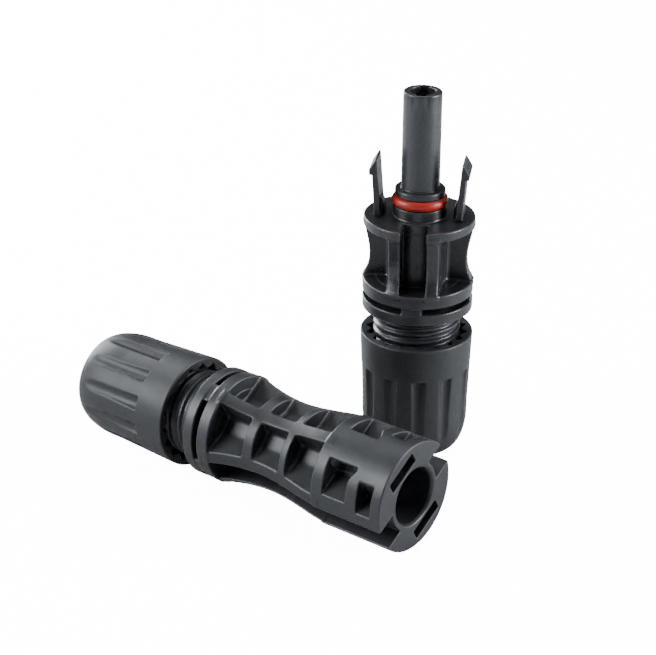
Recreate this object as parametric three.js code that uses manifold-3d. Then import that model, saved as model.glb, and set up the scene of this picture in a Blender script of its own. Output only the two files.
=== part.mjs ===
// Pair of single-pole cable connectors for photovoltaic strings.
//
// Millimetres, +Z up. The pin half lies along X with its mating face towards +X, and the
// socket half stands on its gland nut behind it. The origin is on the ground under the
// centre of the pair's bounding box.
//
// Each half is modelled in its own frame: +Z is the mating direction, z = 0 is the mating
// face, X is the direction of the latches and their slots, and Y is the direction of the
// two keyway channels.

import * as THREE from 'three';
import { mergeVertices } from 'three/addons/utils/BufferGeometryUtils.js';
import Module from 'manifold-3d';

const wasm = await Module();
wasm.setup();

// ---------------------------------------------------------------- driving dimensions

const BODY_R = 9.5;              // flange, discs and barrel head
const KEYWAY_W = 4.4;            // width of the two channels in each body
const RIB_OUTER = 4.29;          // outer wall of the ribs, from the keyway's middle plane
const SPINE_W = 2.2;             // wall along the latch direction
const CAVITY_R = 3.1;            // chamber for the crimped end of a contact

const FLANGE_T = 1.65;
const SOCKET_WAIST = 9.75;       // flange's back face to the first disc
const SOCKET_BARREL_R = 5.2;
const PROBE_R = 3.3;
const PROBE_L = 21.9;
const PROBE_BORE_R = 2.8;
const PROBE_LIP_T = 1.2;
const PROBE_MOUTH_R = 2.15;
const BOSS_R = 4.55;
const COLLAR_R = 4.3;
const RING_GROOVE = [1.95, 3.98]; // sealing ring groove, above the mating face
const COLLAR_TOP = 4.9;

const HEAD_L = 13.6;             // solid barrel head of the pin half
const PIN_BODY_L = 36.1;         // mating face to the first disc
const PIN_BARREL_R = 5.5;
const HEAD_RING_R = 5.85;        // wall around the mouth of the pin half
const MOUTH_R = 4.75;
const MOUTH_L = 7.6;
const PROBE_HOLE_R = 3.5;
const PROBE_HOLE_L = 23.2;
const BULKHEAD_T = 2;
const PIN_HOLE_R = 2.35;
const SLOT_X = [5.65, 7.6];      // latch slots, from the axis
const SLOT_W = 6.7;
const CATCH_START = 7.2;         // edge that the latch barb hooks behind
const CATCH_END = 12.5;
const CATCH_R = 8.9;

const DISC_A_T = 2.3;
const DISC_GAP = 1.05;
const DISC_B_T = 2.0;
const DISC_CORE_R = 7.0;
const WEB_W = 3.4;               // bridges between the two discs
const THREAD_ROOT_R = 7.15;
const THREAD_CREST_R = 7.45;
const THREAD_PITCH = 1.5;
const SLEEVE_L = 14;
const SEAL_SEAT_R = 5.9;
const SEAL_SEAT_START = 7;       // behind the first disc's front face

const NUT_L = 21.8;
const NUT_MOUTH_R = 9.75;
const NUT_REAR_R = 9.25;
const NUT_ROUND_L = 6.5;         // length of the rounded rear end
const NUT_ROUND_R = 2.8;         // how far the rounding goes in
const NUT_BORE_R = 7.75;
const NUT_BORE_L = 14.2;
const NUT_CONE_R = [7.3, 5.2];
const NUT_CONE_L = 4.8;
const NUT_EXIT_R = 4.2;
const FLUTE_COUNT = 12;
const FLUTE_START = 6.1;         // from the nut's mouth
const FLUTE_R = 1.5;
const FLUTE_DEPTH = 0.6;
const FLUTE_TURN = 10;           // degrees, first flute
const RATCHET_COUNT = 18;
const RATCHET_R = 8.6;
const RATCHET_L = 1.7;

const SOCKET_NUT_GAP = 4.6;      // thread left open between the nut and the disc
const PIN_NUT_GAP = 4.85;

const LATCH_X = 6.4;             // inner face of a latch arm at its root
const LATCH_T = 0.95;
const LATCH_W = 5.6;
const LATCH_LEAN = 0.075;        // outward lean, radians
const LATCH_FOOT = 0.2;          // clearance that the flexing foot needs
const LATCH_TIP = 10.1;
const BARB_UNDER = 7.45;
const BARB_EDGE = 8.3;
const BARB_OUT = 0.5;

const AXIS_HEIGHT = NUT_MOUTH_R; // the lying half rests on its nut
const PIN_ROLL = 30.5;           // degrees, slots from vertical
const SOCKET_TURN = 29.4;        // degrees, latches from X
const SOCKET_BACK = 22.35;       // socket half's axis, behind the pin half's face
const SOCKET_ASIDE = 30.4;       // and beside the pin half's axis

const ROUND = 36;                // segments on large circles
const ROUND_SMALL = 24;          // segments on small circles
const THROUGH = 1;               // how far a cutter runs past the face it opens

// ------------------------------------------------------------------------ materials

const COLOURS = {
  housing: { color: 0x34373b, roughness: 0.45, metalness: 0 },
  nut: { color: 0x3f4247, roughness: 0.6, metalness: 0 },
  ring: { color: 0xc23524, roughness: 0.45, metalness: 0 },
  seal: { color: 0x26282b, roughness: 0.85, metalness: 0 },
  claw: { color: 0x2c2e31, roughness: 0.5, metalness: 0 },
  contact: { color: 0xc9c6bd, roughness: 0.25, metalness: 1 },
  spring: { color: 0xb98a4a, roughness: 0.3, metalness: 1 },
};

// -------------------------------------------------------------------- solid helpers

function toSolid(geometry) {
  const bare = geometry.clone();
  bare.deleteAttribute('normal');
  bare.deleteAttribute('uv');
  const merged = mergeVertices(bare, 1e-5);
  const index = merged.index.array;
  const triVerts = [];
  for (let i = 0; i < index.length; i += 3) {
    const [a, b, c] = [index[i], index[i + 1], index[i + 2]];
    if (a !== b && b !== c && c !== a) {
      triVerts.push(a, b, c);
    }
  }
  return new wasm.Manifold(new wasm.Mesh({
    numProp: 3,
    vertProperties: new Float32Array(merged.attributes.position.array),
    triVerts: new Uint32Array(triVerts),
  }));
}

function toGeometry(solid) {
  const mesh = solid.getMesh();
  const geometry = new THREE.BufferGeometry();
  geometry.setAttribute('position', new THREE.BufferAttribute(mesh.vertProperties, 3));
  geometry.setIndex(new THREE.BufferAttribute(mesh.triVerts, 1));
  geometry.computeVertexNormals();
  return geometry;
}

const join = (...solids) => solids.reduce((whole, next) => whole.add(next));

const cut = (solid, ...tools) => tools.reduce((whole, tool) => whole.subtract(tool), solid);

// Revolves a closed outline of [radius, z] points, counter-clockwise, about Z.
function revolve(outline, segments = ROUND) {
  const points = outline.map(([r, z]) => new THREE.Vector2(r, z));
  points.push(points[0].clone());
  const geometry = new THREE.LatheGeometry(points, segments);
  return toSolid(geometry.rotateX(Math.PI / 2));
}

const rod = (r, low, high, segments = ROUND) =>
  revolve([[0, low], [r, low], [r, high], [0, high]], segments);

const tube = (inner, outer, low, high, segments = ROUND) =>
  revolve([[inner, low], [outer, low], [outer, high], [inner, high]], segments);

function block([x0, x1], [y0, y1], [z0, z1]) {
  const geometry = new THREE.BoxGeometry(x1 - x0, y1 - y0, z1 - z0);
  return toSolid(geometry.translate((x0 + x1) / 2, (y0 + y1) / 2, (z0 + z1) / 2));
}

// Extrudes an outline of [x, y] points from z = low to z = high.
function prism(outline, low, high) {
  const shape = new THREE.Shape(outline.map(([x, y]) => new THREE.Vector2(x, y)));
  const geometry = new THREE.ExtrudeGeometry(shape, { depth: high - low, bevelEnabled: false });
  return toSolid(geometry.translate(0, 0, low));
}

// Extrudes an outline of [x, z] points across Y, centred on the XZ plane.
function profileAcrossY(outline, width) {
  const shape = new THREE.Shape(outline.map(([x, z]) => new THREE.Vector2(x, z)));
  const geometry = new THREE.ExtrudeGeometry(shape, { depth: width, bevelEnabled: false });
  return toSolid(geometry.rotateX(Math.PI / 2).translate(0, width / 2, 0));
}

const radians = THREE.MathUtils.degToRad;

const mirrored = (sign, [low, high]) => (sign > 0 ? [low, high] : [-high, -low]);

// ------------------------------------------------------------------ shared rear body

// Outline of a waisted body of revolution between two heights: it starts and ends at
// BODY_R and narrows smoothly to a waist.
function waistedBody(low, high, waistR, steps = 10) {
  const outline = [[0, low]];
  for (let i = 0; i <= steps; i += 1) {
    const t = i / steps;
    const pinch = Math.sin(Math.PI * t) ** 0.8;
    outline.push([BODY_R - (BODY_R - waistR) * pinch, low + (high - low) * t]);
  }
  outline.push([0, high]);
  return revolve(outline);
}

// The ribs and the spine that stand between a body's windows.
function cageWalls(low, high) {
  const across = [-BODY_R, BODY_R];
  const spine = block(across, [-SPINE_W / 2, SPINE_W / 2], [low, high]);
  const ribs = [1, -1].map((side) =>
    block(mirrored(side, [KEYWAY_W / 2, RIB_OUTER]), across, [low, high]));
  return join(spine, ...ribs);
}

// Cutter for both keyways, outside a core of the given radius.
function keyways(coreR, low, high) {
  const reach = BODY_R + THROUGH;
  const bar = block([-KEYWAY_W / 2, KEYWAY_W / 2], [-reach, reach], [low, high]);
  return bar.subtract(rod(coreR, low - THROUGH, high + THROUGH));
}

// Externally threaded sleeve, with the thread drawn as rings one pitch apart.
function threadedSleeve(top) {
  const bottom = top - SLEEVE_L;
  const outline = [[0, bottom], [THREAD_ROOT_R, bottom]];
  for (let z = bottom + THREAD_PITCH / 2; z < top - THREAD_PITCH; z += THREAD_PITCH) {
    outline.push([THREAD_ROOT_R, z], [THREAD_CREST_R, z + THREAD_PITCH / 2]);
  }
  outline.push([THREAD_ROOT_R, top], [0, top]);
  return revolve(outline);
}

// Two discs with four bridges between them, then the sleeve. top is the front face of
// the first disc.
function rearBody(top) {
  const gapTop = top - DISC_A_T;
  const gapBottom = gapTop - DISC_GAP;
  const discBottom = gapBottom - DISC_B_T;
  const half = WEB_W / 2;
  const across = [-BODY_R, BODY_R];
  const webs = join(
    block(across, [-half, half], [gapBottom - THROUGH, gapTop + THROUGH]),
    block([-half, half], across, [gapBottom - THROUGH, gapTop + THROUGH]),
  ).intersect(rod(BODY_R - 0.05, gapBottom - THROUGH, gapTop + THROUGH));
  return join(
    rod(BODY_R, gapTop, top),
    rod(DISC_CORE_R, discBottom, top),
    rod(BODY_R, discBottom, gapBottom),
    webs,
    threadedSleeve(discBottom + 0.01),
  );
}

// Everything that is bored out behind the contact's bulkhead.
function rearBores(bulkhead, top) {
  const end = top - DISC_A_T - DISC_GAP - DISC_B_T - SLEEVE_L;
  return join(
    rod(CAVITY_R, end - THROUGH, bulkhead, ROUND_SMALL),
    rod(SEAL_SEAT_R, end - THROUGH, top - SEAL_SEAT_START),
  );
}

// ----------------------------------------------------------------------- socket half

const SOCKET_DISC = -FLANGE_T - SOCKET_WAIST;
const SOCKET_WAIST_R = 8.4;
const SOCKET_BULKHEAD = -1.2;

function socketHousing() {
  const waist = waistedBody(SOCKET_DISC, -FLANGE_T, SOCKET_WAIST_R);
  const cage = waist.intersect(cageWalls(SOCKET_DISC, -FLANGE_T));
  const [grooveLow, grooveHigh] = RING_GROOVE;
  const probe = revolve([
    [0, -FLANGE_T], [BOSS_R, -FLANGE_T], [BOSS_R, grooveLow], [PROBE_R, grooveLow],
    [PROBE_R, grooveHigh], [COLLAR_R, grooveHigh], [COLLAR_R, COLLAR_TOP - 0.35],
    [COLLAR_R - 0.35, COLLAR_TOP], [PROBE_R, COLLAR_TOP], [PROBE_R, PROBE_L - 0.35],
    [PROBE_R - 0.35, PROBE_L], [0, PROBE_L],
  ]);
  const body = join(
    rod(BODY_R, -FLANGE_T, 0),
    rod(SOCKET_BARREL_R, SOCKET_DISC - THROUGH, -FLANGE_T + 0.01),
    cage,
    probe,
    rearBody(SOCKET_DISC),
  );
  const keySlot = block(
    [-0.75, 0.75],
    [-PROBE_BORE_R, PROBE_BORE_R],
    [PROBE_L - PROBE_LIP_T - THROUGH, PROBE_L + THROUGH],
  );
  return cut(
    body,
    keyways(SOCKET_BARREL_R, SOCKET_DISC, THROUGH),
    rod(PROBE_BORE_R, SOCKET_BULKHEAD - THROUGH, PROBE_L - PROBE_LIP_T, ROUND_SMALL),
    rod(PROBE_MOUTH_R, 0, PROBE_L + THROUGH, ROUND_SMALL),
    keySlot,
    rearBores(SOCKET_BULKHEAD, SOCKET_DISC),
  );
}

// A latch arm leaning away from the probe, on the +X side.
function latchArm() {
  const lean = (z) => z * Math.sin(LATCH_LEAN);
  const inner = LATCH_X;
  const outer = LATCH_X + LATCH_T;
  const arm = profileAcrossY([
    [inner - 0.2, LATCH_FOOT], [outer + 0.2, LATCH_FOOT], [outer + lean(1), 1],
    [outer + lean(BARB_UNDER), BARB_UNDER],
    [outer + lean(BARB_UNDER) + BARB_OUT, BARB_UNDER + 0.15],
    [outer + lean(BARB_EDGE) + BARB_OUT, BARB_EDGE],
    [inner + lean(LATCH_TIP) + 0.12, LATCH_TIP], [inner + lean(LATCH_TIP), LATCH_TIP],
    [inner + lean(1), 1],
  ], LATCH_W);
  const gusset = profileAcrossY([
    [inner - 0.6, LATCH_FOOT], [inner + 0.3, LATCH_FOOT], [inner + 0.4, 3.2],
    [inner - 0.1, 2.9], [inner - 0.55, 1.6],
  ], LATCH_W / 2);
  return arm.add(gusset);
}

// Oval-section sealing ring that sits in the groove between the boss and the collar.
function sealingRing() {
  const middle = (RING_GROOVE[0] + RING_GROOVE[1]) / 2;
  const [halfW, halfH] = [0.68, 0.94];
  const centreR = PROBE_R + 0.08 + halfW;
  const sides = 10;
  const outline = [];
  for (let i = 0; i < sides; i += 1) {
    const a = (2 * Math.PI * i) / sides;
    outline.push([centreR + halfW * Math.cos(a), middle + halfH * Math.sin(a)]);
  }
  return revolve(outline);
}

// -------------------------------------------------------------------------- pin half

const PIN_DISC = -PIN_BODY_L;
const PIN_WAIST_R = 7.85;
const PIN_BULKHEAD = -(PROBE_HOLE_L + BULKHEAD_T);
const PIN_RINGS = [[20.3, 21.8], [27.6, 29.6]]; // rings between the windows

// Two pockets on each flank of the barrel head, beside each latch slot.
function headWindows() {
  const far = BODY_R + THROUGH;
  const tools = [];
  for (const sx of [1, -1]) {
    for (const sy of [1, -1]) {
      const large = block(mirrored(sx, [5.6, far]), mirrored(sy, [2.95, far]), [-11.6, -6.9]);
      const relief = block(mirrored(sx, [5.6, far]), mirrored(sy, [2.95, 4.4]), [-7, -6.1]);
      const small = block(mirrored(sx, [RIB_OUTER, far]), mirrored(sy, [4.78, far]), [-4.8, -2]);
      tools.push(large, relief, small);
    }
  }
  return join(...tools).subtract(rod(HEAD_RING_R, -HEAD_L, THROUGH));
}

// Slots that the latch arms enter, and the wider catches behind them.
function latchSlots() {
  const halfW = SLOT_W / 2;
  const tools = [1, -1].flatMap((side) => [
    block(mirrored(side, SLOT_X), [-halfW, halfW], [-HEAD_L - 2, THROUGH]),
    block(mirrored(side, [SLOT_X[0], BODY_R]), [-halfW, halfW], [-CATCH_END, -CATCH_START])
      .intersect(rod(CATCH_R, -HEAD_L, 0)),
  ]);
  return join(...tools);
}

function pinHousing() {
  const waist = waistedBody(PIN_DISC, -HEAD_L, PIN_WAIST_R, 14);
  const rings = PIN_RINGS.map(([near, far]) => rod(BODY_R, -far, -near));
  const cage = waist.intersect(join(cageWalls(PIN_DISC, -HEAD_L), ...rings));
  const body = join(
    rod(BODY_R, -HEAD_L - 1.2, 0).intersect(revolve([
      [0, -HEAD_L - 1.2], [BODY_R - 0.5, -HEAD_L - 1.2], [BODY_R, -HEAD_L],
      [BODY_R, -0.25], [BODY_R - 0.25, 0], [0, 0],
    ])),
    rod(PIN_BARREL_R, PIN_DISC - THROUGH, -HEAD_L),
    cage,
    rearBody(PIN_DISC),
  );
  return cut(
    body,
    keyways(HEAD_RING_R, -HEAD_L, THROUGH),
    keyways(PIN_BARREL_R, PIN_DISC, -HEAD_L + 0.01),
    headWindows(),
    latchSlots(),
    revolve([
      [0, -MOUTH_L], [MOUTH_R, -MOUTH_L], [MOUTH_R, -0.4], [MOUTH_R + 0.4, 0],
      [MOUTH_R + 0.4, THROUGH], [0, THROUGH],
    ]),
    rod(PROBE_HOLE_R, -PROBE_HOLE_L, 0, ROUND_SMALL),
    rod(PIN_HOLE_R, PIN_BULKHEAD - THROUGH, 0, ROUND_SMALL),
    rearBores(PIN_BULKHEAD, PIN_DISC),
  );
}

// -------------------------------------------------------------------------- contacts

const COLLAR_GAP = 0.3;          // between a contact's collar and its bulkhead
const CONTACT_COLLAR_R = 2.85;
const CONTACT_COLLAR_T = 1.8;
const CONTACT_NECK_R = 2.2;
const CONTACT_NECK_L = 3;
const CRIMP_R = 2.6;
const CRIMP_BORE_R = 1.9;
const CRIMP_L = 8;

// Collar, neck and crimp barrel below a contact's working end, joined at z = top.
function contactTail(top) {
  const neckTop = top - CONTACT_COLLAR_T;
  const crimpTop = neckTop - CONTACT_NECK_L;
  const bottom = crimpTop - CRIMP_L;
  const body = revolve([
    [0, bottom], [CRIMP_R - 0.2, bottom], [CRIMP_R, bottom + 0.2], [CRIMP_R, crimpTop],
    [CONTACT_NECK_R, crimpTop], [CONTACT_NECK_R, neckTop], [CONTACT_COLLAR_R, neckTop],
    [CONTACT_COLLAR_R, top], [0, top],
  ], ROUND_SMALL);
  const wireHole = rod(CRIMP_BORE_R, bottom - THROUGH, crimpTop - 0.6, ROUND_SMALL);
  const sightHole = toSolid(
    new THREE.CylinderGeometry(0.6, 0.6, CRIMP_R + THROUGH, 16)
      .rotateZ(Math.PI / 2)
      .translate((CRIMP_R + THROUGH) / 2, 0, crimpTop - 1.4),
  );
  return cut(body, wireHole, sightHole);
}

const PIN_CONTACT_TOP = PIN_BULKHEAD - COLLAR_GAP;
const PIN_TIP = -7.2;
const PIN_R = 2;

function pinContact() {
  const pin = revolve([
    [0, PIN_CONTACT_TOP - 0.5], [PIN_R, PIN_CONTACT_TOP - 0.5], [PIN_R, PIN_TIP - 1.6],
    [PIN_R * 0.94, PIN_TIP - 0.9], [PIN_R * 0.75, PIN_TIP - 0.35], [PIN_R * 0.4, PIN_TIP - 0.06],
    [0, PIN_TIP],
  ], ROUND_SMALL);
  return pin.add(contactTail(PIN_CONTACT_TOP));
}

const SOCKET_CONTACT_TOP = SOCKET_BULKHEAD - COLLAR_GAP;
const SOCKET_CONTACT_R = 2.7;
const SOCKET_CONTACT_END = PROBE_L - PROBE_LIP_T - 0.3;
const LAMELLA_SEAT = [6, 17];
const LAMELLA_SEAT_R = 2.35;

function socketContact() {
  const sleeve = rod(SOCKET_CONTACT_R, SOCKET_CONTACT_TOP - 0.5, SOCKET_CONTACT_END, ROUND_SMALL);
  const [low, high] = LAMELLA_SEAT;
  return cut(
    sleeve.add(contactTail(SOCKET_CONTACT_TOP)),
    rod(PROBE_MOUTH_R, 2, SOCKET_CONTACT_END + THROUGH, ROUND_SMALL),
    rod(LAMELLA_SEAT_R, low, high, ROUND_SMALL),
  );
}

// Louvred spring band that lines the socket and grips the pin.
function lamellaBand() {
  const [low, high] = LAMELLA_SEAT;
  const band = tube(2.08, 2.26, low + 0.15, high - 0.15, ROUND_SMALL);
  const slots = [];
  const count = 8;
  for (let i = 0; i < count; i += 1) {
    const slot = new THREE.BoxGeometry(0.6, 0.35, high - low - 3);
    slot.translate(2.2, 0, (low + high) / 2).rotateZ((2 * Math.PI * i) / count);
    slots.push(toSolid(slot));
  }
  return cut(band, ...slots);
}

// Split spring clip around a contact's neck, with a tongue that locks it in the housing.
function contactClip(top) {
  const high = top - CONTACT_COLLAR_T - 0.3;
  const low = high - CONTACT_NECK_L + 0.6;
  const ring = tube(CONTACT_NECK_R + 0.1, CONTACT_NECK_R + 0.35, low, high, ROUND_SMALL);
  const gap = block([-3, 0], [-0.4, 0.4], [low - THROUGH, high + THROUGH]);
  return cut(ring, gap);
}

// ----------------------------------------------------------------- cable gland pieces

const SEAL_BORE_R = 3.1;
const SEAL_R = 5.75;
const SEAL_L = 6;
const SEAL_CLEARANCE = 0.2;
const CLAW_BORE_R = 3.7;
const CLAW_RING_R = 5.7;
const CLAW_DEPTH = [7.65, 13.95, 18.9]; // ring front, shoulder and finger tips in the nut
const CLAW_SHOULDER_R = 6.9;
const CLAW_TIP_R = 4.9;
const CLAW_SLOTS = 4;            // each slot crosses the ring, making twice as many fingers

function cableSeal(discTop) {
  const high = discTop - SEAL_SEAT_START - SEAL_CLEARANCE;
  const low = high - SEAL_L;
  return revolve([
    [SEAL_BORE_R, low], [SEAL_R - 0.5, low], [SEAL_R, low + 0.5], [SEAL_R, low + 2],
    [SEAL_R - 0.3, low + 3], [SEAL_R, low + 4], [SEAL_R, high - 0.5], [SEAL_R - 0.5, high],
    [SEAL_BORE_R, high], [SEAL_BORE_R + 0.25, high - 3],
  ]);
}

// Clamping claw: a ring that presses the seal, and fingers that the nut's cone closes.
// mouth is the height of the nut's mouth.
function clampClaw(mouth) {
  const [front, shoulder, tips] = CLAW_DEPTH.map((depth) => mouth - depth);
  const body = revolve([
    [CLAW_BORE_R, tips], [CLAW_TIP_R, tips], [CLAW_SHOULDER_R, shoulder - 0.6],
    [CLAW_SHOULDER_R, shoulder], [CLAW_RING_R, shoulder], [CLAW_RING_R, front],
    [CLAW_BORE_R, front],
  ]);
  const slots = [];
  for (let i = 0; i < CLAW_SLOTS; i += 1) {
    const slot = new THREE.BoxGeometry(2 * BODY_R, 0.7, shoulder - tips + 3);
    slot.translate(0, 0, (shoulder + tips) / 2 + 0.5).rotateZ((Math.PI * i) / CLAW_SLOTS);
    slots.push(toSolid(slot));
  }
  return cut(body, ...slots);
}

// Union nut with grip flutes, a ratchet mouth, a closing cone and the cable's exit.
function glandNut(mouth) {
  const end = mouth - NUT_L;
  const roundTop = end + NUT_ROUND_L;
  const roundSteps = 6;
  const outline = [[0, end]];
  for (let i = 0; i <= roundSteps; i += 1) {
    const a = (Math.PI / 2) * (i / roundSteps);
    const r = NUT_REAR_R - NUT_ROUND_R * (1 - Math.sin(a));
    outline.push([r, roundTop - NUT_ROUND_L * Math.cos(a)]);
  }
  outline.push([NUT_MOUTH_R, mouth - 0.3], [NUT_MOUTH_R - 0.3, mouth], [0, mouth]);
  const coneTop = mouth - NUT_BORE_L;
  const bore = join(
    rod(NUT_BORE_R, coneTop, mouth + THROUGH),
    revolve([
      [0, coneTop - NUT_CONE_L], [NUT_CONE_R[1], coneTop - NUT_CONE_L],
      [NUT_CONE_R[0], coneTop + 0.01], [0, coneTop + 0.01],
    ]),
    rod(NUT_EXIT_R, end - THROUGH, mouth),
  );
  const flutes = [];
  for (let i = 0; i < FLUTE_COUNT; i += 1) {
    const length = NUT_L - FLUTE_START + THROUGH;
    const flute = new THREE.CylinderGeometry(FLUTE_R, FLUTE_R, length, 14).rotateX(Math.PI / 2);
    flute.translate(NUT_REAR_R + FLUTE_R - FLUTE_DEPTH, 0, mouth - FLUTE_START - length / 2);
    const angle = radians(FLUTE_TURN) + (2 * Math.PI * i) / FLUTE_COUNT;
    flutes.push(toSolid(flute.rotateZ(angle)));
  }
  const notches = [];
  for (let i = 0; i < RATCHET_COUNT; i += 1) {
    const half = Math.PI / RATCHET_COUNT - 0.03;
    const middle = (2 * Math.PI * i) / RATCHET_COUNT;
    const at = (r, a) => [r * Math.cos(middle + a), r * Math.sin(middle + a)];
    const outlineV = [at(NUT_BORE_R - 0.4, -half), at(RATCHET_R, 0), at(NUT_BORE_R - 0.4, half)];
    notches.push(prism(outlineV, mouth - RATCHET_L, mouth + THROUGH));
  }
  return cut(revolve(outline), bore, join(...flutes), join(...notches));
}

// -------------------------------------------------------------------------- assembly

function piece(name, solid, finish) {
  const mesh = new THREE.Mesh(toGeometry(solid), new THREE.MeshStandardMaterial(COLOURS[finish]));
  mesh.name = name;
  return mesh;
}

const nutMouth = (disc, gap) => disc - DISC_A_T - DISC_GAP - DISC_B_T - gap;
const SOCKET_NUT_MOUTH = nutMouth(SOCKET_DISC, SOCKET_NUT_GAP);
const PIN_NUT_MOUTH = nutMouth(PIN_DISC, PIN_NUT_GAP);

function socketHalf() {
  const half = new THREE.Group();
  const otherLatch = piece('latch_arm_left', latchArm(), 'housing');
  otherLatch.rotation.z = Math.PI;
  half.add(
    piece('socket_housing', socketHousing(), 'housing'),
    piece('latch_arm_right', latchArm(), 'housing'),
    otherLatch,
    piece('sealing_ring', sealingRing(), 'ring'),
    piece('socket_contact', socketContact(), 'contact'),
    piece('lamella_band', lamellaBand(), 'spring'),
    piece('socket_contact_clip', contactClip(SOCKET_CONTACT_TOP), 'spring'),
    piece('socket_cable_seal', cableSeal(SOCKET_DISC), 'seal'),
    piece('socket_clamp_claw', clampClaw(SOCKET_NUT_MOUTH), 'claw'),
    piece('socket_gland_nut', glandNut(SOCKET_NUT_MOUTH), 'nut'),
  );
  return half;
}

function pinHalf() {
  const half = new THREE.Group();
  half.add(
    piece('pin_housing', pinHousing(), 'housing'),
    piece('pin_contact', pinContact(), 'contact'),
    piece('pin_contact_clip', contactClip(PIN_CONTACT_TOP), 'spring'),
    piece('pin_cable_seal', cableSeal(PIN_DISC), 'seal'),
    piece('pin_clamp_claw', clampClaw(PIN_NUT_MOUTH), 'claw'),
    piece('pin_gland_nut', glandNut(PIN_NUT_MOUTH), 'nut'),
  );
  return half;
}

const PIN_TOTAL_L = NUT_L - PIN_NUT_MOUTH;

// The mating face of the pin half, so that the origin is under the middle of the pair.
const FACE_X = PIN_TOTAL_L / 2;
const AXIS_Y = NUT_MOUTH_R - (NUT_MOUTH_R + SOCKET_ASIDE + NUT_MOUTH_R) / 2;

const pair = new THREE.Group();

const lying = pinHalf();
lying.rotation.set(0, 0, radians(PIN_ROLL));
const lyingFrame = new THREE.Group();
lyingFrame.rotation.y = Math.PI / 2;
lyingFrame.position.set(FACE_X, AXIS_Y, AXIS_HEIGHT);
lyingFrame.add(lying);

const standing = socketHalf();
standing.rotation.z = radians(SOCKET_TURN);
standing.position.set(FACE_X - SOCKET_BACK, AXIS_Y + SOCKET_ASIDE, NUT_L - SOCKET_NUT_MOUTH);

pair.add(lyingFrame, standing);

export default pair;
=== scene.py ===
"""Looks of a pair of solar cable connectors, built around the solids of their frame.

Each moulded piece is a field: a function that gives every point's distance to the piece's
surface, negative inside, in the half's own millimetres. Fields join and cut each other
with soft edges, as a moulding has. A field becomes a mesh with a surface net.

In a half's own frame +Z is the mating direction, z = 0 is its mating face, X is the
direction of the latches and slots, and Y the direction of the keyway channels.
"""

import math
from concurrent.futures import ThreadPoolExecutor

import bpy
import numpy as np
from mathutils import Matrix, Vector


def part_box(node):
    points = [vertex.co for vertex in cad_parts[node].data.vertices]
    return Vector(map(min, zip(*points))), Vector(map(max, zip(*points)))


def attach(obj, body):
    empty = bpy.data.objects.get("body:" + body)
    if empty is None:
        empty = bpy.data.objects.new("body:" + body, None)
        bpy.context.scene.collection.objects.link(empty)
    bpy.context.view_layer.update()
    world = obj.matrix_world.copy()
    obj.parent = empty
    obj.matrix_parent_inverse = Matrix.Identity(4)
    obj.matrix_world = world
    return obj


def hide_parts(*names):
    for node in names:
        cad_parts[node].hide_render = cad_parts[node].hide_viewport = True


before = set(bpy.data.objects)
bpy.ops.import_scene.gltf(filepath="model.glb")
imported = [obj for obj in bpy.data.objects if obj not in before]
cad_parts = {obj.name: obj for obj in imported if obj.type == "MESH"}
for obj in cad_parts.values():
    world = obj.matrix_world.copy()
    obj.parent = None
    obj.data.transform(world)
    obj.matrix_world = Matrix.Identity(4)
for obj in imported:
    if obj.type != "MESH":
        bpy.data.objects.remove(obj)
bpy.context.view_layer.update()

MM = 0.001
FINE = 0.2        # cell of the surface nets, mm
SMALL = 0.13      # the same on small pieces

# ------------------------------------------------------------------ dimensions, mm

BODY_R = 9.5
KEYWAY = 2.2                  # half the width of a keyway channel
RIB = 4.29                    # a rib's outer wall, from the keyway's middle
SPINE = 1.1                   # half the thickness of the spine
EDGE = 0.26                   # softness of an outer moulded edge
INNER = 0.6                   # softness of an inner corner

DISC_A_T, DISC_GAP, DISC_B_T = 2.3, 1.05, 2.0
DISC_STACK = DISC_A_T + DISC_GAP + DISC_B_T
WEB = 1.7                     # half the width of the bridges between the discs
CORE_R = 7.1                  # the body between the discs
THREAD_R, THREAD_DEPTH, THREAD_PITCH = 7.55, 0.42, 1.5
SLEEVE_L = 14.0               # length of the screwed sleeve
CRIMP_ROOM_R = 3.1            # bore round the contact's crimp barrel
SEAT_R, SEAT_BACK = 5.9, 7    # seat of the cable seal, and how far behind the first disc it starts

PROBE_L = 21.9
FLANGE_T = 1.65
SOCKET_BARREL_R = 5.2
BOSS_R, BOSS_H = 4.55, 1.95
COLLAR_R, COLLAR_LOW, COLLAR_TOP = 4.3, 3.68, 4.9
SOCKET_MOUTH_R, SOCKET_BORE_R = 2.15, 2.8
SOCKET_DISC = -11.4           # front of the socket half's first disc
SOCKET_NUT_MOUTH = SOCKET_DISC - DISC_STACK - 4.6

HEAD_L = 13.9
HEAD_RING = 5.85              # radius of the head's inner wall
HEAD_BORE_R, HEAD_BORE_L = 4.75, 7.6
PIN_BORE_R, PIN_BORE_L = 3.5, 23.2
PIN_NECK_R, PIN_NECK_L = 2.35, 27
PIN_BARREL_R = 5.3
PIN_RINGS = [(20.3, 21.8), (27.6, 29.6)]
PIN_DISC = -36.1              # front of the pin half's first disc
PIN_NUT_MOUTH = PIN_DISC - DISC_STACK - 4.85
SLOT_TURN = 30.5              # degrees, the pin half's roll

LATCH_INNER, LATCH_OUTER = 6.4, 7.35     # faces of a latch arm at its foot, from the axis
LATCH_LEAN = 0.075            # outward, for each mm of height
LATCH_HALF = 2.8              # half the width of an arm

RING_MID_R, RING_MID_Z = 4.06, 2.81      # middle of the sealing ring's section
RING_THICK, RING_TALL = 0.72, 0.85       # half its section, outward and upward

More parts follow.
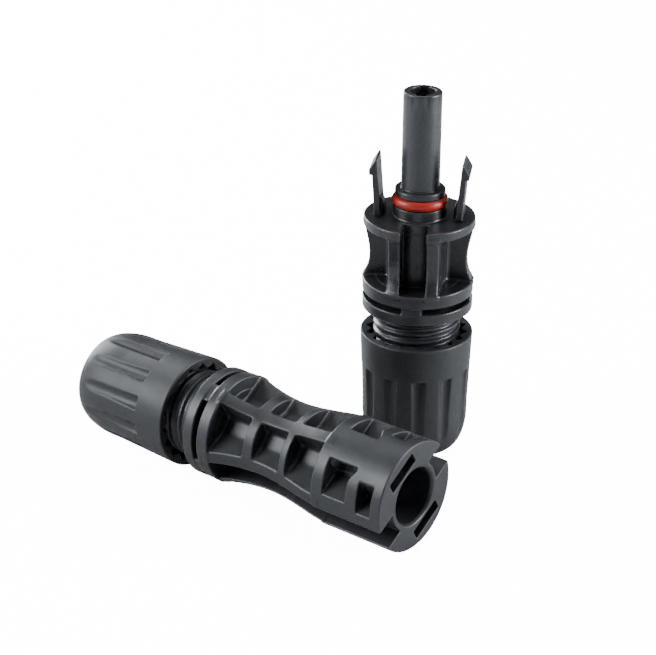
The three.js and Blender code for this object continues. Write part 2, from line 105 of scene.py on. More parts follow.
NUT_L = 21.8
NUT_MOUTH_R, NUT_END_R = 9.75, 9.25
NUT_TAPER_L = 13              # over which the nut narrows from one to the other
NUT_DOME_L, NUT_DOME_DEEP = 6.7, 2.75
NUT_BORE_R, NUT_BORE_L = 7.75, 14.2
NUT_EXIT_R = 4.2
FLUTES, FLUTE_R, FLUTE_AXIS_R, FLUTE_START = 12, 1.5, 10.32, 6.1
FLUTE_TURN = 10.0             # degrees, first flute of each nut
TEETH, TOOTH_L = 18, 1.7      # at the nut's mouth

CLAW_FRONT, CLAW_SHOULDER, CLAW_TIPS = 7.65, 13.95, 18.9     # behind the nut's mouth
CLAW_FINGERS = 8
SEAL_FRONT, SEAL_L = 7.2, 6   # from the first disc, and its length


# ----------------------------------------------------------------- working with fields

def both(a, b, soft=EDGE):
    """Where both fields are solid."""
    h = np.maximum(soft - np.abs(a - b), 0)
    return np.maximum(a, b) + h * h / (4 * soft)


def either(a, b, soft=EDGE):
    """Where one field or the other is solid."""
    h = np.maximum(soft - np.abs(a - b), 0)
    return np.minimum(a, b) - h * h / (4 * soft)


def without(a, b, soft=EDGE):
    """The first field with the second cut out of it."""
    return both(a, -b, soft)


def slab(v, low, high):
    """The layer between two values of one coordinate."""
    return np.abs(v - (low + high) / 2) - (high - low) / 2


def rod(p, radius, low, high, soft=EDGE):
    """A round bar along the half's axis."""
    return both(p.r - radius, slab(p.z, low, high), soft)


def outline(u, v, points):
    """Signed distance from (u, v) to a closed outline of points."""
    nearest = np.full(u.shape, 1e9, np.float32)
    inside = np.zeros(u.shape, bool)
    for (au, av), (bu, bv) in zip(points, points[1:] + points[:1]):
        eu, ev = bu - au, bv - av
        du, dv = u - au, v - av
        t = np.clip((du * eu + dv * ev) / (eu * eu + ev * ev), 0, 1)
        nearest = np.minimum(nearest, (du - t * eu) ** 2 + (dv - t * ev) ** 2)
        spans = (av <= v) != (bv <= v)
        if ev:
            inside ^= spans & (u < au + (v - av) * (eu / ev))
    return np.where(inside, -1, 1) * np.sqrt(nearest)


def profile(points):
    """A smooth curve of radius against z through [z, radius] points, as a function."""
    z, r = np.array(sorted(points), np.float32).T
    slope = np.gradient(r, z)
    fine = np.linspace(z[0], z[-1], 400)
    i = np.clip(np.searchsorted(z, fine, "right") - 1, 0, len(z) - 2)
    step = z[i + 1] - z[i]
    t = (fine - z[i]) / step
    smooth = (
        (2 * t**3 - 3 * t**2 + 1) * r[i] + (t**3 - 2 * t**2 + t) * step * slope[i]
        + (3 * t**2 - 2 * t**3) * r[i + 1] + (t**3 - t**2) * step * slope[i + 1]
    )
    return lambda at: np.interp(at, fine, smooth).astype(np.float32)


class Points:
    """Coordinates at which a field is sampled."""

    def __init__(self, x, y, z):
        self.x, self.y, self.z = x, y, z
        self.ax, self.ay = np.abs(x), np.abs(y)
        self.r = np.hypot(x, y)

    @property
    def turn(self):
        """Angle round the half's axis."""
        return np.arctan2(self.y, self.x)


# -------------------------------------------------------------------- surface nets

EDGE_REACH, HOLLOW_REACH = 0.3, 1.6      # how far from the surface edges and hollows are felt


def sample(field, low, high, cell):
    """The field on a grid, and the grid's first point. Slices are worked out in parallel."""
    low = np.array(low, np.float32) - 2 * cell
    count = np.ceil((np.array(high) + 2 * cell - low) / cell).astype(int) + 1
    axes = [low[i] + cell * np.arange(count[i], dtype=np.float32) for i in range(3)]
    values = np.empty(count, np.float32)

    def fill(start):
        part = axes[2][start:start + 8]
        grid = np.meshgrid(axes[0], axes[1], part, indexing="ij")
        values[:, :, start:start + 8] = field(Points(*grid))

    with ThreadPoolExecutor(4) as pool:
        list(pool.map(fill, range(0, count[2], 8)))
    return values, low


def surface_net(values, low, cell):
    """Vertices and quads of the zero surface of a sampled field."""
    solid = values < 0
    shape = np.array(values.shape)
    total = np.zeros((int(np.prod(shape)), 3), np.float32)
    hits = np.zeros(int(np.prod(shape)), np.int32)
    strides = np.array([shape[1] * shape[2], shape[2], 1])
    crossings = []
    for axis in range(3):
        first = [slice(None)] * 3
        second = [slice(None)] * 3
        first[axis], second[axis] = slice(0, -1), slice(1, None)
        a, b = solid[tuple(first)], solid[tuple(second)]
        at = np.argwhere(a != b)
        start = values[tuple(first)][tuple(at.T)]
        end = values[tuple(second)][tuple(at.T)]
        point = at.astype(np.float32)
        point[:, axis] += start / (start - end)
        u, v = strides[(axis + 1) % 3], strides[(axis + 2) % 3]
        corner = at @ strides
        around = [corner - u - v, corner - v, corner, corner - u]
        for cells in around:
            for k in range(3):
                total[:, k] += np.bincount(cells, point[:, k], len(hits)).astype(np.float32)
            hits += np.bincount(cells, minlength=len(hits)).astype(np.int32)
        crossings.append((around, start < 0))
    used = hits > 0
    number = np.cumsum(used) - 1
    vertices = total[used] / hits[used, None] * cell + low
    quads = []
    for around, outward in crossings:
        quad = number[np.stack(around, 1)]
        quads.append(np.where(outward[:, None], quad, quad[:, ::-1]))
    return vertices, np.concatenate(quads)


def gradient(field, v, step=0.02):
    """Unit direction in which the field grows fastest at each vertex."""
    sides = []
    for axis in range(3):
        shift = np.zeros(3, np.float32)
        shift[axis] = step
        sides.append(field(Points(*(v + shift).T)) - field(Points(*(v - shift).T)))
    g = np.stack(sides, 1)
    return g / np.maximum(np.linalg.norm(g, axis=1, keepdims=True), 1e-6)


def settle(field, v, limit, rounds):
    """Moves vertices onto the field's surface, by no more than limit."""
    start = v.copy()
    for _ in range(rounds):
        v = v - gradient(field, v) * field(Points(*v.T))[:, None]
        away = v - start
        far = np.maximum(np.linalg.norm(away, axis=1, keepdims=True) / limit, 1)
        v = start + away / far
    return v


def thinned(mesh, share):
    """The mesh with its flat areas drawn in fewer faces."""
    holder = bpy.data.objects.new("thinning", mesh)
    bpy.context.scene.collection.objects.link(holder)
    modifier = holder.modifiers.new("fewer", "DECIMATE")
    modifier.ratio = share
    seen = holder.evaluated_get(bpy.context.evaluated_depsgraph_get())
    fewer = bpy.data.meshes.new_from_object(seen)
    bpy.data.objects.remove(holder)
    return fewer


def carve(name, field, low, high, cell, place, share=0.45):
    """A mesh object of the field, with exact normals, moved by place into the part's frame.

    Its point attributes are edge, 1 on outer edges, where the materials paint a highlight, and
    hollow, 1 deep in recesses, where they paint shade.
    """
    values, first = sample(field, low, high, cell)
    v, quads = surface_net(values, first, cell)
    mesh = bpy.data.meshes.new(name)
    mesh.from_pydata(settle(field, v, cell / 2, 1).tolist(), [], quads.tolist())
    mesh = thinned(mesh, share)
    mesh.name = name
    v = np.empty(len(mesh.vertices) * 3, np.float32)
    mesh.vertices.foreach_get("co", v)
    v = settle(field, v.reshape(-1, 3), cell / 3, 2)
    normals = gradient(field, v)
    inward = field(Points(*(v - EDGE_REACH * normals).T)) / EDGE_REACH + 1
    outward = 1 - field(Points(*(v + HOLLOW_REACH * normals).T)) / HOLLOW_REACH
    for label, amount in (("edge", inward), ("hollow", outward)):
        values = np.clip(amount, 0, 1).astype(np.float32)
        mesh.attributes.new(label, "FLOAT", "POINT").data.foreach_set("value", values)
    turn = np.array(place.to_3x3(), np.float32)
    placed = (v @ turn.T) * MM + np.array(place.translation, np.float32)
    mesh.vertices.foreach_set("co", placed.astype(np.float32).ravel())
    mesh.polygons.foreach_set("use_smooth", np.ones(len(mesh.polygons), bool))
    mesh.update()
    mesh.normals_split_custom_set_from_vertices((normals @ turn.T).tolist())
    made = bpy.data.objects.new(name, mesh)
    bpy.context.scene.collection.objects.link(made)
    return made


# -------------------------------------------------------------- where each half stands

def middle(node):
    """Centre of a node's box."""
    low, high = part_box(node)
    return (low + high) / 2


def pin_place():
    """The pin half's frame: its axis is the nut's, and z = 0 is the end of its housing."""
    centre = middle("pin_gland_nut")
    place = Matrix.Rotation(math.pi / 2, 4, "Y") @ Matrix.Rotation(math.radians(SLOT_TURN), 4, "Z")
    place.translation = (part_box("pin_housing")[1].x, centre.y, centre.z)
    return place


def socket_place():
    """The socket half's frame: X points from its left latch to its right one."""
    across = middle("latch_arm_right") - middle("latch_arm_left")
    place = Matrix.Rotation(math.atan2(across.y, across.x), 4, "Z")
    centre = middle("socket_gland_nut")
    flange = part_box("socket_housing")[1].z - PROBE_L * MM
    place.translation = (centre.x, centre.y, flange)
    return place


# -------------------------------------------------------- parts shared by both housings

def thread(p, top):
    """The screwed sleeve behind the discs, as one right-handed helix."""
    phase = (p.z - top) / THREAD_PITCH - p.turn / (2 * math.pi)
    wave = np.abs(phase - np.round(phase)) * 2
    ridge = np.clip((wave - 0.25) / 0.5, 0, 1)
    fade = np.clip((top - 0.5 - p.z) / 0.6, 0, 1) * np.clip((p.z - top + SLEEVE_L) / 1.2, 0, 1)
    radius = THREAD_R - THREAD_DEPTH * (1 - ridge * fade)
    return both((p.r - radius) * 0.85, slab(p.z, top - SLEEVE_L, top + 1), 0.1)


def rear(p, top):
    """Two discs joined by four bridges, and the thread for the gland nut."""
    gap_top = top - DISC_A_T
    gap_low = gap_top - DISC_GAP
    bottom = gap_low - DISC_B_T
    discs = either(rod(p, BODY_R, gap_top, top), rod(p, BODY_R, bottom, gap_low), 0.05)
    core = rod(p, CORE_R, bottom, top, 0.05)
    bridges = np.minimum(p.ax, p.ay) - WEB
    bridges = both(bridges, p.r - (BODY_R - 0.12), 0.15)
    bridges = both(bridges, slab(p.z, gap_low - 0.5, gap_top + 0.5), 0.05)
    solid = either(either(discs, core, 0.25), bridges, 0.2)
    return either(solid, thread(p, bottom), 0.3)


def rear_bores(p, bulkhead, top):
    """Room for the crimp barrel, as far as the bulkhead, and the seat of the cable seal."""
    end = top - DISC_STACK - SLEEVE_L
    cavity = rod(p, CRIMP_ROOM_R, end - 2, bulkhead, 0.2)
    seat = rod(p, SEAT_R, end - 2, top - SEAT_BACK, 0.3)
    return either(cavity, seat, 0.2)


def cage(p, low, high, silhouette, barrel, rings=()):
    """Ribs, spines, rings and an inner barrel inside a waisted outline."""
    ribs = slab(p.ax, KEYWAY, RIB)
    spines = p.ay - SPINE
    walls = np.minimum(ribs, spines)
    for near, far in rings:
        walls = either(walls, slab(p.z, -far, -near), INNER)
    walls = either(walls, p.r - barrel, INNER)
    cut = both(walls, p.r - silhouette(p.z), EDGE)
    return both(cut, slab(p.z, low, high), 0.05)


def keyways(p, depth, low, high):
    """Two channels along opposite sides, cut down to the radius that depth gives."""
    bar = both(p.ax - KEYWAY, depth - p.r, 0.25)
    return both(bar, slab(p.z, low, high), 0.15)


# ---------------------------------------------------------------------- socket half

SOCKET_WAIST = profile([
    (-11.4, 9.45), (-10.6, 9.1), (-9.2, 8.6), (-7.6, 8.4), (-5.6, 8.55), (-3.6, 8.95),
    (-1.65, 9.35),
])


def probe(p):
    """Boss, groove for the sealing ring, collar and probe, above the flange."""
    stem = rod(p, 3.3 - 0.002 * p.z, -2, PROBE_L, 0.3)
    boss = rod(p, BOSS_R, -2, BOSS_H, 0.2)
    collar = rod(p, COLLAR_R, COLLAR_LOW, COLLAR_TOP, 0.3)
    return either(either(stem, boss, 0.25), collar, 0.15)


def socket_housing(p):
    """Flange, waist, discs and sleeve, with the probe in front and the bores through them."""
    flange = rod(p, BODY_R, -FLANGE_T, 0, 0.3)
    waist = cage(p, SOCKET_DISC - 0.5, -1.2, SOCKET_WAIST, SOCKET_BARREL_R)
    solid = either(either(flange, waist, 0.5), rear(p, SOCKET_DISC), 0.5)
    solid = without(solid, keyways(p, SOCKET_BARREL_R, SOCKET_DISC, 3), 0.2)
    solid = either(solid, probe(p), 0.35)
    key = both(slab(p.x, -0.8, 0.8), slab(p.ay, 0, 2.8), 0.15)
    key = both(key, PROBE_L - 2 - p.z, 0.1)
    mouth = both(p.r - SOCKET_MOUTH_R, -p.z, 0.1)
    bore = rod(p, SOCKET_BORE_R, -3, PROBE_L - 1.2, 0.1)
    solid = without(solid, key, 0.15)
    solid = without(solid, either(mouth, bore, 0.05), 0.2)
    return without(solid, rear_bores(p, -1.2, SOCKET_DISC), 0.2)


def latch_side(sign):
    """A latch arm on the side that sign gives: thin, leaning out, with a hooked end."""
    lean, inner, outer = LATCH_LEAN, LATCH_INNER, LATCH_OUTER
    shape = [
        (inner - 0.2, 0.2), (outer + 0.2, 0.2), (outer + 0.05 + lean, 1.1),
        (outer + 7.4 * lean, 7.4), (outer + 7.4 * lean + 0.5, 7.5),
        (outer + 8.35 * lean + 0.5, 8.35), (inner + 10.1 * lean + 0.25, 10.1),
        (inner + 10.1 * lean, 10.0), (inner + lean - 0.05, 1.1),
    ]
    gusset = [
        (inner - 0.55, 0.2), (inner + 0.3, 0.2), (inner + 0.5, 3.1), (inner - 0.05, 2.9),
        (inner - 0.5, 1.6),
    ]

    def field(p):
        x = sign * p.x
        arm = both(outline(x, p.z, shape), p.ay - LATCH_HALF, 0.15)
        knee = both(outline(x, p.z, gusset), p.ay - 1.3, 0.3)
        return either(arm, knee, 0.3)

    return field


def sealing_ring(p):
    """A ring of oval section in the groove between boss and collar."""
    away = np.hypot((p.r - RING_MID_R) / RING_THICK, (p.z - RING_MID_Z) / RING_TALL)
    return (away - 1) * RING_THICK


# ------------------------------------------------------------------------- pin half

PIN_WAIST = profile([
    (-36.1, 9.42), (-34.6, 9.0), (-32, 8.45), (-29, 8.05), (-26, 7.9), (-22.5, 8.1), (-19, 8.6),
    (-16, 9.1), (-14, 9.32), (-13, 9.4),
])


def head_windows(p):
    """Two pockets in each flank of the head, one with its front edge stepped."""
    s = -p.z
    step = np.clip((p.ay - 3.6) * 0.6, 0, 0.95)
    large = both(both(5.2 - p.ax, 2.95 - p.ay, 0.2), both(6.1 + step - s, s - 11.6, 0.3), 0.3)
    small = both(both(RIB - p.ax, 4.78 - p.ay, 0.3), slab(s, 2.0, 4.8), 0.3)
    return both(either(large, small, 0.05), HEAD_RING - p.r, 0.2)


def latch_slots(p):
    """Slots that the latch arms enter, a ledge at their mouths, and the catches behind."""
    slot = both(slab(p.ax, 5.65, 7.6), p.ay - 3.35, 0.3)
    slot = both(slot, slab(p.z, -15.6, 1), 0.1)
    catch = both(slab(p.ax, 5.65, 9), p.ay - 3.35, 0.3)
    catch = both(both(catch, p.r - 8.9, 0.2), slab(p.z, -12.5, -7.2), 0.2)
    return either(slot, catch, 0.05)


def pin_housing(p):
    """Bored head, waist, discs and sleeve, with channels, windows and slots cut into them."""
    shell = rod(p, BODY_R - 0.02, -HEAD_L, 0, 0.25)
    waist = cage(p, PIN_DISC - 0.5, -12.5, PIN_WAIST, PIN_BARREL_R, PIN_RINGS)
    solid = either(shell, waist, 0.25)
    solid = either(solid, rear(p, PIN_DISC), 0.5)
    solid = without(solid, keyways(p, HEAD_RING, -13.2, 2), 0.15)
    solid = without(solid, keyways(p, PIN_BARREL_R, PIN_DISC, -13.0), 0.2)
    solid = without(solid, head_windows(p), 0.22)
    solid = without(solid, latch_slots(p), 0.15)
    flare = np.clip(p.z + 0.5, 0, 1) * 0.7
    mouth = both(p.r - HEAD_BORE_R - flare, -HEAD_BORE_L - p.z, 0.4)
    hole = both(p.r - PIN_BORE_R, -PIN_BORE_L - p.z, 0.3)
    neck = both(p.r - PIN_NECK_R, -PIN_NECK_L - p.z, 0.1)
    solid = without(solid, either(either(mouth, hole, 0.05), neck, 0.05), 0.2)
    return without(solid, rear_bores(p, -25.2, PIN_DISC), 0.2)


# ------------------------------------------------------------------------ gland nut

def gland_nut(mouth):
    """A nut whose mouth is at that height: flutes, a toothed mouth, a cone and the exit."""
    end = mouth - NUT_L
    long, deep = NUT_DOME_L, NUT_DOME_DEEP
    first = math.radians(FLUTE_TURN)

    def field(p):
        down = mouth - p.z
        wall = NUT_MOUTH_R - (NUT_MOUTH_R - NUT_END_R) * np.clip(down / NUT_TAPER_L, 0, 1)
        side = p.r - wall
        u = np.maximum(p.r - (NUT_END_R - deep), 0) / deep
        v = np.maximum(end + long - p.z, 0) / long
        k = np.hypot(u, v)
        dome = k * (k - 1) / np.maximum(np.hypot(u / deep, v / long), 1e-6)
        solid = both(np.where(p.z < end + long, np.maximum(side, dome), side), -down, 0.3)
        solid = both(solid, end - p.z, 0.3)
        sector = 2 * math.pi / FLUTES
        angle = p.turn - first
        angle = angle - sector * np.round(angle / sector)
        along, across = p.r * np.cos(angle), p.r * np.sin(angle)
        flute = np.hypot(along - FLUTE_AXIS_R, across) - FLUTE_R
        flute = both(flute, FLUTE_START - down, 0.12)
        solid = without(solid, flute, 0.2)
        tooth = 2 * math.pi / TEETH
        angle = np.abs(p.turn - tooth * np.round(p.turn / tooth)) / (tooth / 2)
        notch = (p.r - 8.75 + 1.3 * angle) * 0.85
        notch = both(notch, down - TOOTH_L, 0.1)
        bore = both(p.r - NUT_BORE_R, down - NUT_BORE_L, 0.2)
        cone = both((p.r - 7.3 + (down - NUT_BORE_L) * 0.44) * 0.9, slab(down, 14, 19), 0.2)
        way_out = p.r - NUT_EXIT_R
        hollow = either(either(either(notch, bore, 0.05), cone, 0.2), way_out, 0.3)
        return without(solid, hollow, 0.3)

    return field


# -------------------------------------------------------- claw, seal and the contacts

def clamp_claw(mouth):
    """A ring and eight fingers that the nut's cone closes on the cable."""
    front, shoulder, tips = mouth - CLAW_FRONT, mouth - CLAW_SHOULDER, mouth - CLAW_TIPS
    shape = [
        (3.7, tips), (4.9, tips), (6.9, shoulder - 0.6), (6.9, shoulder), (5.7, shoulder),
        (5.7, front), (3.7, front),
    ]

    def field(p):
        body = outline(p.r, p.z, shape) - 0.03
        sector = 2 * math.pi / CLAW_FINGERS
        angle = p.turn - sector * np.round(p.turn / sector)
        slot = both(p.r * np.abs(np.sin(angle)) - 0.35, p.z - shoulder - 2, 0.3)
        return without(body, slot, 0.25)

    return field


def cable_seal(top):
    """A rubber sleeve with three sealing ribs on its outside."""
    high = top - SEAL_FRONT
    low = high - SEAL_L

    def field(p):
        swell = 0.16 * np.cos((p.z - low) * (2 * math.pi / 2.0))
        outer = (p.r - 5.58 + swell) * 0.9
        bore = (p.r - 3.12 + 0.08 * np.cos((p.z - low) * (2 * math.pi / 1.5))) * 0.9
        return without(both(outer, slab(p.z, low, high), 0.5), bore, 0.4)

    return field


def contact(top, working_end):
    """A turned contact: its working end, then collar, neck and crimp barrel."""
    collar = (2.85, top, top - 1.8)
    neck = (2.2, top - 1, top - 5.2)
    barrel = (2.6, top - 4.8, top - 12.8)

    def field(p):
        solid = working_end(p)
        for radius, high, low in (collar, neck, barrel):
            solid = either(solid, rod(p, radius, low, high, 0.12), 0.15)
        wire = both(p.r - 1.9, p.z - (top - 5.4), 0.3)
        sight = both(np.hypot(p.y, p.z - (top - 6.2)) - 0.6, -p.x, 0.1)
        return without(solid, either(wire, sight, 0.1), 0.15)

    return field


def pin_contact():
    """The contact whose round-nosed pin lies in the head."""
    tip = -7.2

    def blade(p):
        nose = np.hypot(p.r, np.maximum(p.z - (tip - 2), 0)) - 2
        return both(nose, -26.5 - p.z, 0.1)

    return contact(-25.5, blade)


def socket_contact():
    """The contact whose sleeve lies in the probe."""
    end = PROBE_L - 3.0

    def sleeve(p):
        outer = rod(p, 2.7, -3, end, 0.1)
        inner = either(both(p.r - 2.15, 2 - p.z, 0.1), rod(p, 2.35, 6, 17, 0.2), 0.05)
        return without(outer, inner, 0.2)

    return contact(-1.5, sleeve)


# ------------------------------------------------------------------------ materials

class Shader:
    """Nodes of one material, made and joined by name."""

    def __init__(self, name):
        self.material = bpy.data.materials.new(name)
        self.material.use_nodes = True
        self.tree = self.material.node_tree
        self.surface = self.tree.nodes["Principled BSDF"]
        self.place = self.node("TexCoord").outputs["Object"]

    def node(self, kind, **settings):
        made = self.tree.nodes.new("ShaderNode" + kind)
        for key, value in settings.items():
            setattr(made, key, value)
        return made

    def link(self, source, target):
        self.tree.links.new(source, target)

    def noise(self, scale, detail=4.0):
        made = self.node("TexNoise")
        made.inputs["Scale"].default_value = scale
        made.inputs["Detail"].default_value = detail
        made.inputs["Roughness"].default_value = 0.55
        self.link(self.place, made.inputs["Vector"])
        return made.outputs["Fac"]

    def attribute(self, name):
        return self.node("Attribute", attribute_name=name).outputs["Fac"]

    def remap(self, source, low, high, to_low, to_high):
        made = self.node("MapRange")
        names = ("From Min", "From Max", "To Min", "To Max")
        for key, value in zip(names, (low, high, to_low, to_high)):
            made.inputs[key].default_value = value
        self.link(source, made.inputs["Value"])
        return made.outputs["Result"]

    def mix(self, amount, first, second):
        made = self.node("Mix", data_type="RGBA")
        self.link(amount, made.inputs["Factor"])
        for key, value in (("A", first), ("B", second)):
            socket = next(i for i in made.inputs if i.name == key and i.type == "RGBA")
            if isinstance(value, tuple):
                socket.default_value = (*value, 1)
            else:
                self.link(value, socket)
        return next(o for o in made.outputs if o.type == "RGBA")

    def add(self, first, second):
        made = self.node("Math", operation="ADD")
        self.link(first, made.inputs[0])
        self.link(second, made.inputs[1])
        return made.outputs[0]

    def bump(self, height, distance, before=None):
        made = self.node("Bump")
        made.inputs["Distance"].default_value = distance
        self.link(height, made.inputs["Height"])
        if before is not None:
            self.link(before, made.inputs["Normal"])
        return made.outputs["Normal"]

    def constant(self, name, value):
        self.surface.inputs[name].default_value = value

    def drive(self, name, source):
        self.link(source, self.surface.inputs[name])


def moulded(name, dark, light, gloss, grain, grain_depth, edge_highlight_colour):
    """Black moulded plastic: cloudy colour, a fine eroded texture, painted shade deep in recesses
    and a painted highlight along outer edges.
    """
    s = Shader(name)
    cloud = s.remap(s.noise(260), 0.35, 0.65, 0, 1)
    speck = s.remap(s.noise(grain, 2.0), 0.45, 0.75, 0, 1)
    colour = s.mix(cloud, dark, light)
    # Painted shade: deep in recesses the colour turns towards a darker copy of itself.
    shade = tuple(c * 0.45 for c in dark)
    colour = s.mix(s.remap(s.attribute("hollow"), 0.3, 1, 0, 0.5), colour, shade)
    # Painted highlight: the colour is lightened along outer edges.
    edge_highlight = s.remap(s.attribute("edge"), 0.1, 0.7, 0, 0.65)
    colour = s.mix(edge_highlight, colour, edge_highlight_colour)
    s.drive("Base Color", colour)
    rough = s.add(s.remap(speck, 0, 1, gloss[0], gloss[1]), s.remap(cloud, 0, 1, -0.03, 0.03))
    s.drive("Roughness", rough)
    s.constant("Specular IOR Level", 0.5)
    fine = s.bump(s.noise(grain, 3.0), grain_depth)
    s.drive("Normal", s.bump(s.noise(900, 2.0), 0.00002, fine))
    return s.material


def rubber(name, dark, light, rough):
    """Dull rubber, cloudy, with a fine grain."""
    s = Shader(name)
    cloud = s.remap(s.noise(420), 0.35, 0.65, 0, 1)
    s.drive("Base Color", s.mix(cloud, dark, light))
    s.drive("Roughness", s.remap(s.noise(2600, 3.0), 0.3, 0.7, rough - 0.08, rough + 0.08))
    s.drive("Normal", s.bump(s.noise(3200, 3.0), 0.000012))
    return s.material


def metal(name, dark, light, rough):
    """Plated metal, unevenly bright."""
    s = Shader(name)
    cloud = s.remap(s.noise(700, 5.0), 0.35, 0.7, 0, 1)
    s.drive("Base Color", s.mix(cloud, dark, light))
    s.constant("Metallic", 1.0)
    s.drive("Roughness", s.remap(s.noise(2400, 4.0), 0.3, 0.7, rough - 0.06, rough + 0.1))
    s.drive("Normal", s.bump(s.noise(4000, 2.0), 0.000004))
    return s.material


HOUSING = moulded(
    "housing_plastic", dark=(0.0095, 0.0106, 0.0128), light=(0.0145, 0.0160, 0.0190),
    gloss=(0.40, 0.50), grain=5200, grain_depth=0.00001, edge_highlight_colour=(0.050, 0.054, 0.062),
)
GLOSSY = moulded(
    "socket_plastic", dark=(0.0080, 0.0089, 0.0107), light=(0.0145, 0.0160, 0.0188),
    gloss=(0.30, 0.44), grain=3600, grain_depth=0.000008, edge_highlight_colour=(0.060, 0.064, 0.072),
)
NUT = moulded(
    "nut_plastic", dark=(0.0085, 0.0096, 0.0116), light=(0.0125, 0.0140, 0.0166),
    gloss=(0.48, 0.58), grain=7000, grain_depth=0.000012, edge_highlight_colour=(0.036, 0.040, 0.047),
)
CLAW = moulded(
    "claw_plastic", dark=(0.008, 0.0085, 0.0095), light=(0.013, 0.0138, 0.0155),
    gloss=(0.4, 0.5), grain=6000, grain_depth=0.000008, edge_highlight_colour=(0.04, 0.042, 0.047),
)
RED = rubber("red_rubber", (0.30, 0.010, 0.006), (0.38, 0.016, 0.009), 0.38)
BLACK = rubber("black_rubber", (0.006, 0.0065, 0.007), (0.011, 0.0115, 0.0125), 0.7)
TIN = metal("tinned_copper", (0.55, 0.53, 0.49), (0.78, 0.76, 0.72), 0.26)
BRONZE = metal("spring_bronze", (0.5, 0.3, 0.13), (0.72, 0.48, 0.24), 0.3)


# ---------------------------------------------------------------------- the pieces

def add(name, body, material, field, reach, span, cell, place, share=0.45):
    """Carves a piece that stands for the CAD node of the same name and rides on body."""
    low, high = (-reach, -reach, span[0]), (reach, reach, span[1])
    made = carve("look_" + name, field, low, high, cell, place, share)
    made.data.materials.append(material)
    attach(made, body)
    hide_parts(name)
    return made


def dress(node, material):
    """Gives its material to a node whose own solid is shown."""
    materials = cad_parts[node].data.materials
    materials.clear()
    materials.append(material)


def build_rear(half, disc, mouth, place):
    """A half's gland nut, clamping claw and cable seal."""
    add(half + "_gland_nut", half + "_nut", NUT, gland_nut(mouth), 9.8,
        (mouth - NUT_L, mouth), FINE, place)
    add(half + "_clamp_claw", half + "_claw", CLAW, clamp_claw(mouth), 7,
        (mouth - 19, mouth - 7.5), FINE, place)
    add(half + "_cable_seal", half + "_half", BLACK, cable_seal(disc), 5.9,
        (disc - 13.3, disc - 7.1), FINE, place)


def build_pin_half(place):
    """The half that lies down."""
    end = PIN_DISC - DISC_STACK - SLEEVE_L
    add("pin_housing", "pin_half", HOUSING, pin_housing, 9.6, (end, 0),
        FINE, place)
    build_rear("pin", PIN_DISC, PIN_NUT_MOUTH, place)
    add("pin_contact", "pin_half", TIN, pin_contact(), 2.9, (-38.4, -7.1),
        SMALL, place)
    dress("pin_contact_clip", BRONZE)


def build_socket_half(place):
    """The half that stands on its nut."""
    end = SOCKET_DISC - DISC_STACK - SLEEVE_L
    add("socket_housing", "socket_half", GLOSSY, socket_housing, 9.6,
        (end, PROBE_L), FINE, place)
    build_rear("socket", SOCKET_DISC, SOCKET_NUT_MOUTH, place)
    add("socket_contact", "socket_half", TIN, socket_contact(), 2.9,
        (-14.4, PROBE_L - 2.9), SMALL, place)
    add("sealing_ring", "socket_half", RED, sealing_ring, 4.8, (2, 4), SMALL, place)
    for side, sign in (("right", 1), ("left", -1)):
        add("latch_arm_" + side, side + "_latch", HOUSING, latch_side(sign), 9,
            (0.1, 10.2), SMALL, place, 0.6)
    dress("socket_contact_clip", BRONZE)
    dress("lamella_band", BRONZE)


# ------------------------------------------------------------- floor, light and camera

LIGHTS_AIM = (0, 0, 0.03)
LIGHTS = [                    # name, place, size in metres, watts
    ("key", (-0.34, -0.38, 0.28), (0.30, 0.32), 4.4),
    ("above", (-0.05, 0.15, 0.60), (0.50, 0.50), 2.4),
    ("right", (0.56, 0.30, 0.16), (0.25, 0.45), 9),
    ("left rim", (-0.60, 0.16, 0.20), (0.20, 0.45), 6),
]
SKY = 0.10
CAMERA_AT = (0.1992, -0.2471, 0.1740)
HEADING, PITCH, ROLL = 38.29, 25.31, 0.44     # degrees
LENS, SENSOR = 112.47, 36                     # mm
GROUND_HALF = 3.0
GROUND_GLOW = 14.0
BOARD_DROP = 0.0006


def plane(name, height, material):
    """A wide level square."""
    data = bpy.data.meshes.new(name)
    half = GROUND_HALF
    corners = [(-half, -half), (half, -half), (half, half), (-half, half)]
    data.from_pydata([(x, y, height) for x, y in corners], [], [(0, 1, 2, 3)])
    made = bpy.data.objects.new(name, data)
    bpy.context.scene.collection.objects.link(made)
    made.data.materials.append(material)
    return made


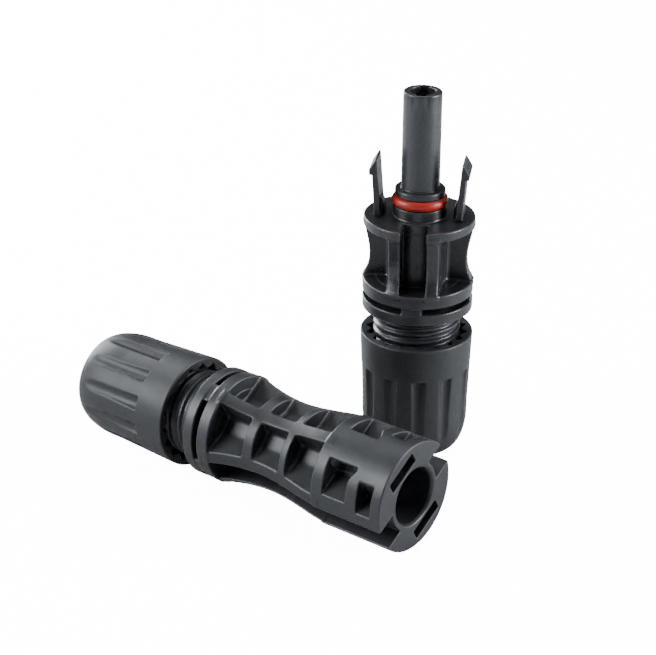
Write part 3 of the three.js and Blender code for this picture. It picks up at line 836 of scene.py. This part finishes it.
def floor():
    """A pure white ground, seen only by the camera, and a pale grey board just under it,
    which the camera doesn't see and which lights the parts from below as a table does."""
    s = Shader("white_ground")
    s.constant("Specular IOR Level", 0.0)
    s.constant("Base Color", (0.9, 0.9, 0.9, 1))
    s.constant("Emission Color", (1, 1, 1, 1))
    s.constant("Emission Strength", GROUND_GLOW)
    ground = plane("ground", 0, s.material)
    ground.visible_diffuse = False
    ground.visible_glossy = False
    ground.visible_shadow = False
    s = Shader("board")
    s.constant("Base Color", (0.6, 0.6, 0.6, 1))
    s.constant("Roughness", 0.7)
    board = plane("board", -BOARD_DROP, s.material)
    board.visible_camera = False


def soft_light(name, location, size, watts):
    """A rectangular light turned to the object."""
    data = bpy.data.lights.new(name, "AREA")
    data.shape = "RECTANGLE"
    data.size, data.size_y = size
    data.energy = watts
    data.color = (0.92, 0.96, 1.0)
    made = bpy.data.objects.new(name, data)
    made.location = location
    made.rotation_euler = (Vector(LIGHTS_AIM) - Vector(location)).to_track_quat("-Z", "Y").to_euler()
    bpy.context.scene.collection.objects.link(made)


def surroundings():
    """An even white glow from every side."""
    world = bpy.data.worlds.new("studio")
    world.use_nodes = True
    background = world.node_tree.nodes["Background"]
    background.inputs["Color"].default_value = (1, 1, 1, 1)
    background.inputs["Strength"].default_value = SKY
    bpy.context.scene.world = world


def camera():
    """The camera, set by its heading, its pitch down from level and its roll."""
    data = bpy.data.cameras.new("camera")
    data.sensor_width = SENSOR
    data.lens = LENS
    data.clip_start, data.clip_end = 0.01, 20
    made = bpy.data.objects.new("camera", data)
    made.location = CAMERA_AT
    heading, pitch, roll = (math.radians(angle) for angle in (HEADING, PITCH, ROLL))
    aim = Matrix.Rotation(heading, 3, "Z") @ Matrix.Rotation(math.pi / 2 - pitch, 3, "X")
    made.rotation_euler = (aim @ Matrix.Rotation(roll, 3, "Z")).to_euler()
    bpy.context.scene.collection.objects.link(made)
    bpy.context.scene.camera = made


def main():
    """Stages the scene and builds both halves."""
    floor()
    surroundings()
    for light in LIGHTS:
        soft_light(*light)
    camera()
    build_pin_half(pin_place())
    build_socket_half(socket_place())


main()
